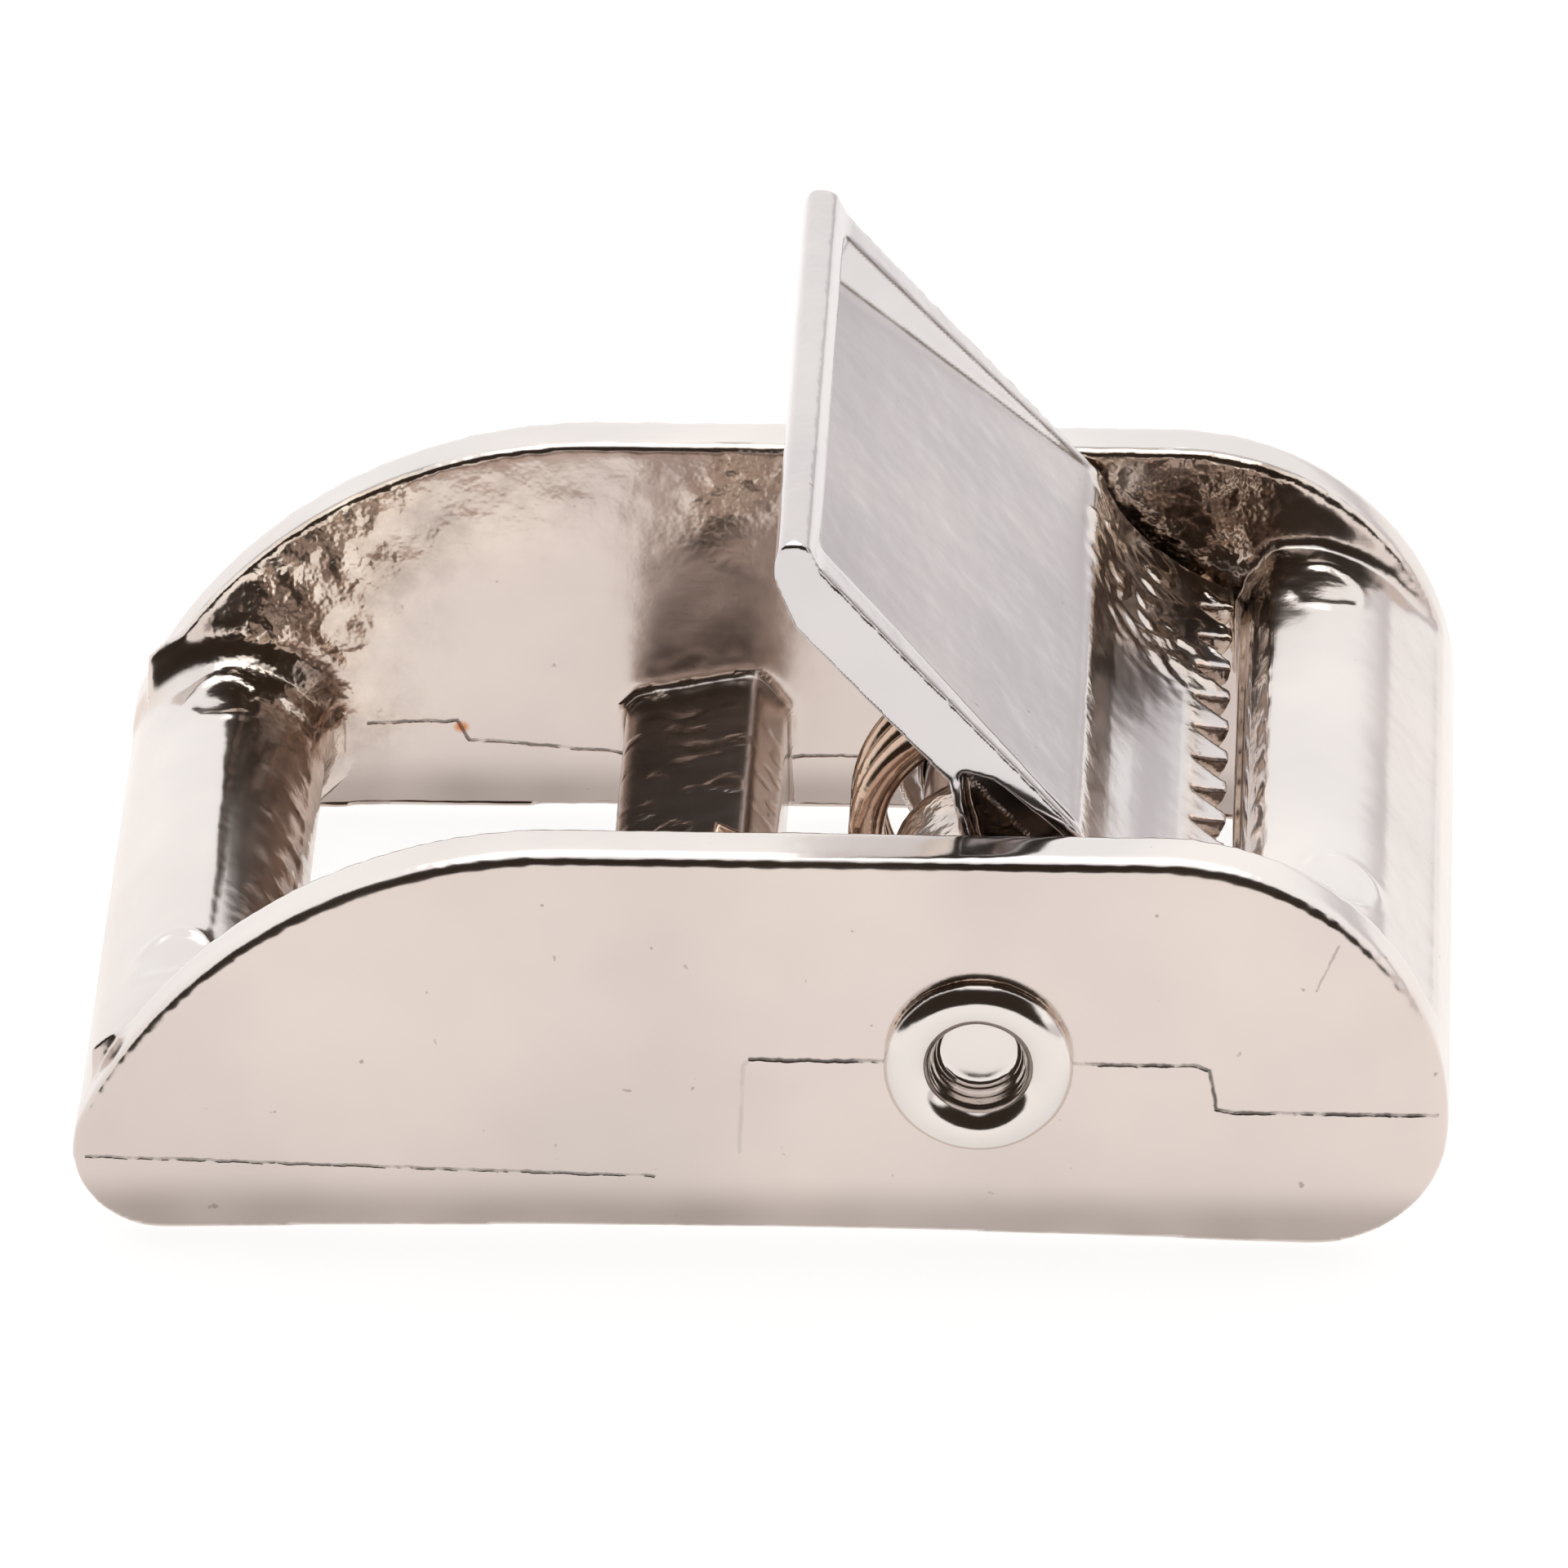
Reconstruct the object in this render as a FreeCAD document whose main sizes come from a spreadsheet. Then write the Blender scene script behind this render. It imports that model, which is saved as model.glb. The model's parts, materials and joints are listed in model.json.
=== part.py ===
import FreeCAD, Part
import Sketcher
import math
import os

# Cam buckle for 25 mm webbing, in millimetres.
# X runs along the buckle towards the toothed end, Y across the webbing and Z up.
# The origin is the middle of the rectangle that the buckle stands on.

SIZES = {
    # frame casting
    "frame_length": 46.2,
    "frame_height": 14.8,
    "inner_width": 27.0,
    "plate_thickness": 2.1,
    "nose_radius": 3.05,
    "nose_joint_drop": 10.3,
    "shoulder_radius": 18.0,
    "shoulder_end": 16.6,
    "crown_radius": 9.8,
    "toe_radius": 4.7,
    "foot_arch_radius": 500.0,
    "plate_edge_fillet": 0.35,
    # bars between the plates
    "rear_bar_reach": 6.9,
    "rear_bar_top": 6.2,
    "rear_bar_crest": 3.6,
    "middle_bar_left": -5.8,
    "middle_bar_right": -0.1,
    "middle_bar_low_side": 4.5,
    "middle_bar_high_side": 5.85,
    "middle_bar_crest_run": 1.1,
    "middle_bar_fillet": 0.35,
    "bar_foot": 0.45,
    "anvil_face": 15.62,
    "anvil_ledge": 0.35,
    "anvil_ledge_height": 9.3,
    "front_bar_top": 11.1,
    "front_bar_shelf": 18.7,
    # pivot and rivet
    "pivot_place": 7.37,
    "pivot_height": 7.17,
    "shank_radius": 2.4,
    "plate_hole_clearance": 0.02,
    "hub_clearance": 0.05,
    "rivet_bore_radius": 1.65,
    "rivet_bore_depth": 0.85,
    "rolled_edge_radius": 3.2,
    "rolled_edge_height": 0.95,
    "rivet_head_radius": 3.7,
    "rivet_head_height": 0.84,
    "countersink_depth": 0.3,
    # cam lever, in its own frame with the thumb plate level and the pivot at the origin
    "rest_angle": 48.7,
    "lever_width": 25.8,
    "thumb_top": 7.3,
    "thumb_underside": 5.2,
    "thumb_end": 17.85,
    "thumb_root": 3.3,
    "lip_height": 0.25,
    "lip_width": 1.5,
    "dish_depth": 1.0,
    "dish_side_run": 1.9,
    "dish_rim": 1.1,
    "dish_rim_at_root": 0.35,
    "step_depth": 0.45,
    "cam_tip_reach": 3.4,
    "cam_tip_height": 7.8,
    "cam_hollow_radius": 9.0,
    "cam_front_reach": 4.6,
    "cam_front_height": 5.5,
    "cam_toe_reach": 5.6,
    "cam_toe_height": 2.6,
    "hub_radius": 3.4,
    "ear_thickness": 3.0,
    "spring_room_radius": 5.3,
    "ear_root_place": 7.5,
    "side_pocket_depth": 1.6,
    "near_hub_end": 2.0,
    "far_hub_start": 4.2,
    "tooth_pitch": 2.15,
    "tooth_depth": 1.35,
    "tooth_count": 12.0,
    # torsion spring
    "wire_radius": 0.62,
    "coil_radius": 4.3,
    "coil_near_end": -0.5,
    "coil_far_end": 2.75,
    "coil_whole_turns": 2.0,
    "thumb_leg_length": 8.6,
    "bar_leg_overhang": 1.2,
    "bar_leg_gap": 0.08,
}


class Size:
    """A size with both its number and the sheet expression that gives it."""

    def __init__(self, value, text):
        self.value = value
        self.text = text

    def __add__(self, other):
        other = as_size(other)
        return Size(self.value + other.value, f"({self.text} + {other.text})")

    def __sub__(self, other):
        other = as_size(other)
        return Size(self.value - other.value, f"({self.text} - {other.text})")

    def __mul__(self, factor):
        return Size(self.value * factor, f"({self.text} * {factor})")

    def __truediv__(self, divisor):
        return Size(self.value / divisor, f"({self.text} / {divisor})")

    def __neg__(self):
        return Size(-self.value, f"(0 - {self.text})")


def as_size(number):
    if isinstance(number, Size):
        return number
    return Size(float(number), f"({float(number)})")


doc = FreeCAD.newDocument("cam_buckle")
sheet = doc.addObject("Spreadsheet::Sheet", "Sizes")
for row, (alias, number) in enumerate(SIZES.items(), start=1):
    sheet.set(f"A{row}", str(number))
    sheet.setAlias(f"A{row}", alias)
doc.recompute()


def size(alias):
    return Size(float(sheet.get(alias)), f"Sizes.{alias}")


def new_body(name):
    body = doc.addObject("PartDesign::Body", name)
    body.Label = name
    return body


def new_sketch(body, name, plane, offset=None):
    """A sketch on one of the body's origin planes, moved along the plane's normal by the offset."""
    sketch = body.newObject("Sketcher::SketchObject", name)
    base = [feature for feature in body.Origin.OriginFeatures if feature.Role == plane]
    sketch.AttachmentSupport = [(base[0], "")]
    sketch.MapMode = "FlatFace"
    if offset is not None:
        sketch.AttachmentOffset = FreeCAD.Placement(FreeCAD.Vector(0, 0, offset.value), FreeCAD.Rotation())
        sketch.setExpression("AttachmentOffset.Base.z", offset.text)
    return sketch


def hold(sketch, kind, geometry, point, term):
    """Fix one coordinate of a point, or a radius, to a sheet expression."""
    if kind == "Radius":
        index = sketch.addConstraint(Sketcher.Constraint(kind, geometry, term.value))
    else:
        index = sketch.addConstraint(Sketcher.Constraint(kind, geometry, point, term.value))
    sketch.setExpression(f"Constraints[{index}]", term.text)


def arc_between(start, end, bend):
    """The arc from start to end. A positive bend turns left along the way and is the radius."""
    radius = abs(bend)
    chord = end.sub(start)
    middle = start.add(chord * 0.5)
    left = FreeCAD.Vector(-chord.y, chord.x, 0).normalize()
    reach = math.sqrt(max(radius ** 2 - (chord.Length / 2) ** 2, 0.0))
    side = 1 if bend > 0 else -1
    centre = middle.add(left * (reach * side))
    first, last = (start, end) if bend > 0 else (end, start)
    first_angle = math.atan2(first.y - centre.y, first.x - centre.x)
    last_angle = math.atan2(last.y - centre.y, last.x - centre.x)
    if last_angle < first_angle:
        last_angle += 2 * math.pi
    circle = Part.Circle(centre, FreeCAD.Vector(0, 0, 1), radius)
    return Part.ArcOfCircle(circle, first_angle, last_angle)


def outline(sketch, corners):
    """A closed outline. Each corner is (across, up, bend), and the bend is that of the edge that follows it:
    None for a straight edge, or a signed radius whose positive value turns left."""
    places = [(as_size(across), as_size(up), bend) for across, up, bend in corners]
    points = [FreeCAD.Vector(across.value, up.value, 0) for across, up, bend in places]
    count = len(points)
    edges = []
    for index in range(count):
        start = points[index]
        end = points[(index + 1) % count]
        bend = places[index][2]
        if bend is None:
            edges.append((sketch.addGeometry(Part.LineSegment(start, end)), 1, 2))
            continue
        bend = as_size(bend)
        geometry = sketch.addGeometry(arc_between(start, end, bend.value))
        head, tail = (1, 2) if bend.value > 0 else (2, 1)
        edges.append((geometry, head, tail))
    for index in range(count):
        geometry, head, tail = edges[index]
        following, following_head, _ = edges[(index + 1) % count]
        sketch.addConstraint(Sketcher.Constraint("Coincident", geometry, tail, following, following_head))
    for index in range(count):
        geometry, head, tail = edges[index]
        across, up, bend = places[index]
        hold(sketch, "DistanceX", geometry, head, across)
        hold(sketch, "DistanceY", geometry, head, up)
        if bend is not None:
            bend = as_size(bend)
            radius = bend if bend.value > 0 else -bend
            hold(sketch, "Radius", geometry, None, radius)


def circle(sketch, across, up, radius):
    centre = FreeCAD.Vector(as_size(across).value, as_size(up).value, 0)
    geometry = sketch.addGeometry(Part.Circle(centre, FreeCAD.Vector(0, 0, 1), radius.value))
    hold(sketch, "DistanceX", geometry, 3, as_size(across))
    hold(sketch, "DistanceY", geometry, 3, as_size(up))
    hold(sketch, "Radius", geometry, None, radius)


def extrude(body, kind, name, sketch, length, symmetric=True, reversed_way=False):
    feature = body.newObject(kind, name)
    feature.Profile = sketch
    feature.SideType = "Symmetric" if symmetric else "One side"
    feature.Length = length.value
    feature.setExpression("Length", length.text)
    feature.Reversed = reversed_way
    doc.recompute()
    return feature


def pad(body, name, sketch, length, **options):
    return extrude(body, "PartDesign::Pad", name, sketch, length, **options)


def pocket(body, name, sketch, length, **options):
    before = body.Shape.Volume
    feature = extrude(body, "PartDesign::Pocket", name, sketch, length, **options)
    if body.Shape.Volume >= before:
        raise RuntimeError(f"{name} removes nothing")
    return feature


def fillet(body, name, chosen, radius):
    """Round the edges of the body's tip that the test picks."""
    base = body.Tip
    names = [f"Edge{number}" for number, edge in enumerate(base.Shape.Edges, start=1) if chosen(edge)]
    feature = body.newObject("PartDesign::Fillet", name)
    feature.Base = (base, names)
    feature.Radius = radius.value
    feature.setExpression("Radius", radius.text)
    doc.recompute()
    return feature


half_length = size("frame_length") / 2
half_inner = size("inner_width") / 2
frame_width = size("inner_width") + size("plate_thickness") * 2
height = size("frame_height")
pivot_x = size("pivot_place")
pivot_z = size("pivot_height")


def make_frame():
    body = new_body("frame")
    nose_centre = -half_length + size("nose_radius")
    toe_foot = half_length - size("toe_radius")
    crown_start = half_length - size("crown_radius")
    side = new_sketch(body, "side_outline", "XZ_Plane")
    outline(side, [
        (nose_centre, 0, -size("foot_arch_radius")),
        (toe_foot, 0, size("toe_radius")),
        (half_length, size("toe_radius"), None),
        (half_length, height - size("crown_radius"), size("crown_radius")),
        (crown_start, height, None),
        (-half_length + size("shoulder_end"), height, size("shoulder_radius")),
        (-half_length + 0.35, height - size("nose_joint_drop"), size("nose_radius")),
    ])
    pad(body, "casting_block", side, frame_width)

    rear_right = -half_length + size("rear_bar_reach")
    bars = new_sketch(body, "space_round_the_bars", "XZ_Plane")
    outline(bars, [
        (-half_length - 2, -2, None),
        (half_length + 2, -2, None),
        (half_length + 2, height + 2, None),
        (-half_length - 2, height + 2, None),
    ])
    # The rear bar is rounded on top and falls away towards the slot.
    outline(bars, [
        (-half_length - 1, -1, None),
        (rear_right - 1.2, -1, None),
        (rear_right - 0.5, 0.9, None),
        (rear_right, 3.1, size("rear_bar_reach") * 0.62),
        (-half_length + size("rear_bar_crest"), size("rear_bar_top"), size("nose_radius") * 1.35),
        (-half_length + 0.05, size("nose_radius"), None),
        (-half_length - 1, size("nose_radius") - 1, None),
    ])
    # The middle bar leans towards the rear, so its top slopes.
    left = size("middle_bar_left")
    right = size("middle_bar_right")
    outline(bars, [
        (left, -1, None),
        (right, -1, None),
        (right, size("middle_bar_low_side"), None),
        (right - size("middle_bar_crest_run"), size("middle_bar_high_side"), None),
        (left + 0.5, size("middle_bar_low_side") + 0.5, None),
        (left, size("middle_bar_low_side"), None),
    ])
    # The front bar's inner side is the anvil, with two narrow ledges above it.
    anvil = size("anvil_face")
    ledge = size("anvil_ledge")
    ledge_z = size("anvil_ledge_height")
    outline(bars, [
        (anvil, -1, None),
        (half_length + 1, -1, None),
        (half_length + 1, 7.4, None),
        (half_length - 0.55, 8.0, None),
        (half_length - 2.3, 9.97, size("crown_radius") * 0.55),
        (size("front_bar_shelf") - 0.4, size("front_bar_top") + 0.1, None),
        (anvil + ledge * 3.3, size("front_bar_top"), None),
        (anvil + ledge * 2.2, ledge_z + 1.0, None),
        (anvil + ledge, ledge_z + 0.9, None),
        (anvil + ledge * 0.9, ledge_z + 0.1, None),
        (anvil, ledge_z, None),
    ])
    pocket(body, "bay", bars, size("inner_width"))

    # The bars' undersides stand clear of what the buckle lies on.
    relief = new_sketch(body, "bar_relief", "XZ_Plane")
    outline(relief, [
        (left - 1, -2, None),
        (right + 1, -2, None),
        (right + 1, size("bar_foot") + 0.25, None),
        (left - 1, size("bar_foot") + 0.25, None),
    ])
    pocket(body, "middle_bar_relief", relief, size("inner_width"))

    holes = new_sketch(body, "rivet_holes", "XZ_Plane")
    circle(holes, pivot_x, pivot_z, size("shank_radius") + size("plate_hole_clearance"))
    pocket(body, "rivet_hole", holes, frame_width + 2)

    half_frame = frame_width.value / 2

    def on_plate_outside(edge):
        box = edge.BoundBox
        flat = box.YLength < 1e-4 and abs(abs(box.Center.y) - half_frame) < 1e-4
        return flat and box.XLength > 0.2 and not near_pivot(box.Center, box)

    def near_pivot(centre, box):
        return abs(centre.x - pivot_x.value) < 0.6 and abs(centre.z - pivot_z.value) < 0.6 and box.XLength < 7

    fillet(body, "plate_edge_rounding", on_plate_outside, size("plate_edge_fillet"))

    def on_rivet_hole(edge):
        box = edge.BoundBox
        outside = box.YLength < 1e-4 and abs(abs(box.Center.y) - half_frame) < 1e-4
        return outside and near_pivot(box.Center, box)

    pierced = body.Tip
    rims = [f"Edge{number}" for number, edge in enumerate(pierced.Shape.Edges, start=1) if on_rivet_hole(edge)]
    sink = body.newObject("PartDesign::Chamfer", "rivet_countersink")
    sink.Base = (pierced, rims)
    sink.Size = size("countersink_depth").value
    sink.setExpression("Size", size("countersink_depth").text)
    doc.recompute()

    def along_middle_bar(edge):
        box = edge.BoundBox
        long_edge = abs(box.YLength - half_inner.value * 2) < 1e-3 and box.XLength < 1e-3
        return long_edge and left.value - 0.1 < box.Center.x < right.value + 0.1 and box.Center.z > 2

    fillet(body, "middle_bar_rounding", along_middle_bar, size("middle_bar_fillet"))
    return body


def make_lever():
    body = new_body("cam_lever")
    width = size("lever_width")
    top = size("thumb_top")
    under = size("thumb_underside")
    end = size("thumb_end")
    root = size("thumb_root")
    hub = size("hub_radius")
    profile = new_sketch(body, "lever_profile", "XZ_Plane")
    outline(profile, [
        (-size("ear_root_place"), under, None),
        (-hub - 1.1, 3.3, None),
        (-hub, 0, hub),
        (0, -hub, hub * 2.4),
        (size("cam_toe_reach"), size("cam_toe_height"), None),
        (size("cam_front_reach"), size("cam_front_height"), None),
        (size("cam_tip_reach") + 0.2, size("cam_tip_height") - 0.3, None),
        (size("cam_tip_reach"), size("cam_tip_height"), -size("cam_hollow_radius")),
        (-root + 1.7, top - size("step_depth"), None),
        (-root, top, None),
        (-end + size("lip_width"), top, None),
        (-end + 0.75, top + size("lip_height"), 0.72),
        (-end, top - 0.45, 2.2),
        (-end + 0.95, under + 0.6, None),
        (-end + 2.6, under, None),
    ])
    pad(body, "lever_block", profile, width)

    room = size("spring_room_radius")
    between = new_sketch(body, "space_between_ears", "XZ_Plane")
    outline(between, [
        (-end + 5, under, None),
        (-end + 5, -room, None),
        (0, -room, room),
        (room, 0, room),
        (-1.0, under, None),
    ])
    pocket(body, "spring_room", between, width - size("ear_thickness") * 2)

    half_width = width / 2
    barrels = [("near_barrel", half_width - 0.5, size("near_hub_end")),
               ("far_barrel", -size("far_hub_start"), -half_width + 0.5)]
    for name, start, stop in barrels:
        section = new_sketch(body, f"{name}_section", "XZ_Plane", offset=start)
        circle(section, 0, 0, hub)
        pad(body, name, section, start - stop, symmetric=False, reversed_way=True)

    bore = new_sketch(body, "hub_bore", "XZ_Plane")
    circle(bore, 0, 0, size("shank_radius") + size("hub_clearance"))
    pocket(body, "bore", bore, width + 2)

    # A cored pocket on the outside of each ear, between the hub and the thumb plate.
    for side, name in ((1, "near_pocket"), (-1, "far_pocket")):
        start = half_width * side
        hollow = new_sketch(body, f"{name}_outline", "XZ_Plane", offset=start)
        outline(hollow, [
            (-6.2, 4.75, None),
            (-3.4, 3.3, -4.6),
            (2.6, 3.6, None),
            (2.9, 5.2, None),
            (1.6, 6.3, None),
            (-1.6, 6.2, None),
            (-3.6, 6.75, None),
            (-6.6, 6.4, None),
            (-7.6, 5.75, None),
        ])
        pocket(body, name, hollow, size("side_pocket_depth"), symmetric=False, reversed_way=side < 0)

    # The thumb plate is dished: deep behind the lip and running out at the root.
    sections = []
    stations = [("dish_deep_end", -end + size("lip_width"), 1.0, size("dish_rim")),
                ("dish_shallow_end", -root - 0.15, 0.05, size("dish_rim_at_root"))]
    for name, place, share, rim_width in stations:
        section = new_sketch(body, name, "YZ_Plane", offset=place)
        depth = size("dish_depth") * share
        run = size("dish_side_run") * share
        rim = half_width - rim_width
        outline(section, [
            (-rim + run, top - depth, None),
            (rim - run, top - depth, None),
            (rim, top + 0.4, None),
            (-rim, top + 0.4, None),
        ])
        sections.append(section)
    before = body.Shape.Volume
    dish = body.newObject("PartDesign::SubtractiveLoft", "thumb_dish")
    dish.Profile = sections[0]
    dish.Sections = [sections[1]]
    doc.recompute()
    if body.Shape.Volume >= before:
        raise RuntimeError("thumb_dish removes nothing")

    # Vee notches across the cam's nose leave one pointed tooth per pitch.
    pitch = size("tooth_pitch")
    gaps = size("tooth_count") - 1
    first = -pitch * ((gaps.value - 1) / 2)
    notch = new_sketch(body, "tooth_notch", "XY_Plane", offset=size("cam_toe_height") + 2.2)
    outline(notch, [
        (size("cam_tip_reach") - size("tooth_depth"), first, None),
        (size("cam_tip_reach") + 3, first - pitch * 1.16, None),
        (size("cam_tip_reach") + 3, first + pitch * 1.16, None),
    ])
    cut = pocket(body, "notch", notch, size("cam_tip_height"), symmetric=False, reversed_way=True)
    row = body.newObject("PartDesign::LinearPattern", "tooth_row")
    row.Originals = [cut]
    row.Direction = (notch, ["V_Axis"])
    row.Length = (pitch * (gaps.value - 1)).value
    row.setExpression("Length", f"{pitch.text} * ({gaps.text} - 1)")
    row.Occurrences = int(gaps.value)
    body.Tip = row
    doc.recompute()

    turn = FreeCAD.Rotation(FreeCAD.Vector(0, 1, 0), size("rest_angle").value)
    body.Placement = FreeCAD.Placement(FreeCAD.Vector(pivot_x.value, 0, pivot_z.value), turn)
    return body


def make_rivet():
    """A semi-tubular rivet along its own Z, with the rolled edge at the low end."""
    body = new_body("pivot_rivet")
    shank = size("shank_radius")
    bore = size("rivet_bore_radius")
    rolled = size("rolled_edge_radius")
    rise = size("rolled_edge_height")
    half = frame_width / 2
    lip = half + 0.02
    head = size("rivet_head_radius")
    section = new_sketch(body, "half_section", "XZ_Plane")
    outline(section, [
        (0, -half + size("rivet_bore_depth"), None),
        (bore - 0.25, -half + size("rivet_bore_depth"), None),
        (bore - 0.25, -half + 0.5, None),
        (bore - 0.1, -half + 0.4, None),
        (bore - 0.1, -half + 0.15, None),
        (bore, -half + 0.05, None),
        (bore, -half - rise * 0.4, (rolled - bore) * 0.56),
        (rolled, -half - rise * 0.4, None),
        (rolled - 0.1, -lip, None),
        (shank, -lip, None),
        (shank, lip, None),
        (head, lip, None),
        (head, lip + 0.3, None),
        (head * 0.45, lip + size("rivet_head_height"), None),
        (0, lip + size("rivet_head_height"), None),
    ])
    turned = body.newObject("PartDesign::Revolution", "turned_shape")
    turned.Profile = section
    turned.ReferenceAxis = (section, ["V_Axis"])
    turned.Angle = 360
    doc.recompute()
    lay_down = FreeCAD.Rotation(FreeCAD.Vector(1, 0, 0), -90)
    body.Placement = FreeCAD.Placement(FreeCAD.Vector(pivot_x.value, 0, pivot_z.value), lay_down)
    return body


def make_spring():
    """The coil runs round the pivot between the hub barrels. One leg lies under the thumb plate and the
    other on the middle bar. The shape is drawn about the pivot and then placed on it."""
    value = {alias: float(sheet.get(alias)) for alias in SIZES}
    wire = value["wire_radius"]
    radius = value["coil_radius"]
    rest = math.radians(value["rest_angle"])
    thumb_angle = math.radians(90) - rest
    # The bar leg slopes up and lies on the middle bar's crest.
    slope_share = 1.1
    bar_x = value["middle_bar_right"] - value["middle_bar_crest_run"] - value["pivot_place"]
    bar_z = (value["middle_bar_high_side"] - value["pivot_height"]
             + slope_share * (wire + value["bar_leg_gap"]))
    reach = math.hypot(bar_x, bar_z)
    bar_angle = math.atan2(bar_z, bar_x) + math.acos(radius / reach)
    bar_angle = bar_angle % (2 * math.pi)
    turns = value["coil_whole_turns"] + ((thumb_angle - bar_angle) % (2 * math.pi)) / (2 * math.pi)
    depth = value["coil_far_end"] - value["coil_near_end"]

    def around(angle, place):
        return FreeCAD.Vector(radius * math.cos(angle), place, radius * math.sin(angle))

    def wire_along(start, direction, length):
        return Part.makeCylinder(wire, length, start, direction)

    helix = Part.makeHelix(depth / turns, depth, radius)
    ring = Part.Wire(Part.makeCircle(wire, FreeCAD.Vector(radius, 0, 0), FreeCAD.Vector(0, 1, 0)))
    coil = Part.Wire(helix).makePipeShell([ring], True, True)
    # The helix climbs its own Z from angle 0, so it is turned to climb Y from the bar leg to the thumb leg.
    to_y = FreeCAD.Rotation(FreeCAD.Vector(1, 0, 0), -90)
    coil.Placement = FreeCAD.Placement(FreeCAD.Vector(), to_y)
    spin = FreeCAD.Rotation(FreeCAD.Vector(0, 1, 0), -math.degrees(bar_angle))
    coil.Placement = FreeCAD.Placement(FreeCAD.Vector(0, value["coil_near_end"], 0), spin * to_y)

    bar_start = around(bar_angle, value["coil_near_end"])
    bar_end = FreeCAD.Vector(bar_x, value["coil_near_end"], bar_z)
    bar_way = bar_end.sub(bar_start)
    bar_leg = wire_along(bar_start, bar_way, bar_way.Length + value["bar_leg_overhang"])
    thumb_start = around(thumb_angle, value["coil_far_end"])
    thumb_way = FreeCAD.Vector(-math.sin(thumb_angle), 0, math.cos(thumb_angle))
    thumb_leg = wire_along(thumb_start, thumb_way, value["thumb_leg_length"])
    shape = coil
    for leg, place in ((bar_leg, bar_start), (thumb_leg, thumb_start)):
        before = shape.Volume
        shape = shape.fuse(leg.fuse(Part.makeSphere(wire, place)))
        if shape.Volume < before + leg.Volume / 2:
            raise RuntimeError("a spring leg was lost")
    feature = doc.addObject("Part::Feature", "torsion_spring")
    feature.Label = "torsion_spring"
    feature.Shape = shape
    feature.Placement = FreeCAD.Placement(
        FreeCAD.Vector(value["pivot_place"], 0, value["pivot_height"]), FreeCAD.Rotation())
    return feature


pieces = [make_frame(), make_lever(), make_rivet(), make_spring()]
doc.recompute()

for item in doc.Objects:
    if "Invalid" in item.State or "Error" in item.State:
        raise RuntimeError(f"{item.Label} failed: {item.State}")
os.makedirs("parts", exist_ok=True)
for piece in pieces:
    shape = piece.Shape
    if shape.isNull() or not shape.isValid():
        raise RuntimeError(f"{piece.Label} has no valid shape")
    box = shape.BoundBox
    print(piece.Label, "solids", len(shape.Solids), "volume", round(shape.Volume, 1),
          "box", [round(edge, 2) for edge in (box.XMin, box.XMax, box.YMin, box.YMax, box.ZMin, box.ZMax)])
    shape.exportStep(f"parts/{piece.Label}.step")
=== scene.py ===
"""Looks for the cam buckle: a nickel-plated die casting, its toothed lever, the rolled rivet and the spring."""
import json
import math

import bmesh
import bpy
import numpy as np
from mathutils import Matrix, Vector, noise


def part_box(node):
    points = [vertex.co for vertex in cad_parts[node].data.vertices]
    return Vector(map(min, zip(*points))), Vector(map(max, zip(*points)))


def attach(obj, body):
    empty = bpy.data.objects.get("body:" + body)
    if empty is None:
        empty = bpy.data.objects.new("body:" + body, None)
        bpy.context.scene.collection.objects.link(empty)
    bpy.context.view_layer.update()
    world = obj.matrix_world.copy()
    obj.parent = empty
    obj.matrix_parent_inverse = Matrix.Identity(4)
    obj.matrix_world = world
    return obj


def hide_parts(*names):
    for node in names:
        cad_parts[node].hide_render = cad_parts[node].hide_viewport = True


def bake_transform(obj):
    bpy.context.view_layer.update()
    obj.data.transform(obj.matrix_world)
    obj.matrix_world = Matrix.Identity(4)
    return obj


MM = 0.001
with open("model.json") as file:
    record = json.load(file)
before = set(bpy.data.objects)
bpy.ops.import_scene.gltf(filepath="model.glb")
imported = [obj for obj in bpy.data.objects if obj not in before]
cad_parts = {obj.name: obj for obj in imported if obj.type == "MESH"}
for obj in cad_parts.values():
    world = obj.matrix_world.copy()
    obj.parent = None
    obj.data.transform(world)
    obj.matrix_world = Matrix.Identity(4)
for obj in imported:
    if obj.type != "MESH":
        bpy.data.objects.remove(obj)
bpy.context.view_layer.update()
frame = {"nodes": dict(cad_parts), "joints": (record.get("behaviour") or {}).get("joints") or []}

frame_low, frame_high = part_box("frame")
pivot = Vector(frame["joints"][0]["pos_m"])
PLATE = 2.1 * MM
NEAR_FACE = frame_low.y
NEAR_INNER = NEAR_FACE + PLATE
FAR_INNER = frame_high.y - PLATE
REST_TURN = math.radians(48.7)


# ---------------------------------------------------------------- mesh work

def evaluated_mesh(obj):
    graph = bpy.context.evaluated_depsgraph_get()
    return bpy.data.meshes.new_from_object(obj.evaluated_get(graph))


def remeshed_copy(node, name, voxel, flares=False):
    """A copy of a CAD node rebuilt as an even net of small faces, so its edges can be rounded."""
    obj = bpy.data.objects.new(name, frame["nodes"][node].data.copy())
    bpy.context.scene.collection.objects.link(obj)
    obj.data.materials.clear()
    if flares:
        add_flare(obj, FAR_INNER, -1)
        add_flare(obj, NEAR_INNER, 1)
    remesh = obj.modifiers.new("even_net", "REMESH")
    remesh.mode = "VOXEL"
    remesh.voxel_size = voxel
    mesh = evaluated_mesh(obj)
    obj.modifiers.clear()
    obj.data = mesh
    return obj


def points_of(mesh):
    flat = np.empty(len(mesh.vertices) * 3)
    mesh.vertices.foreach_get("co", flat)
    return flat.reshape(-1, 3)


def normals_of(mesh):
    flat = np.empty(len(mesh.vertices) * 3)
    mesh.vertices.foreach_get("normal", flat)
    return flat.reshape(-1, 3)


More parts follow.
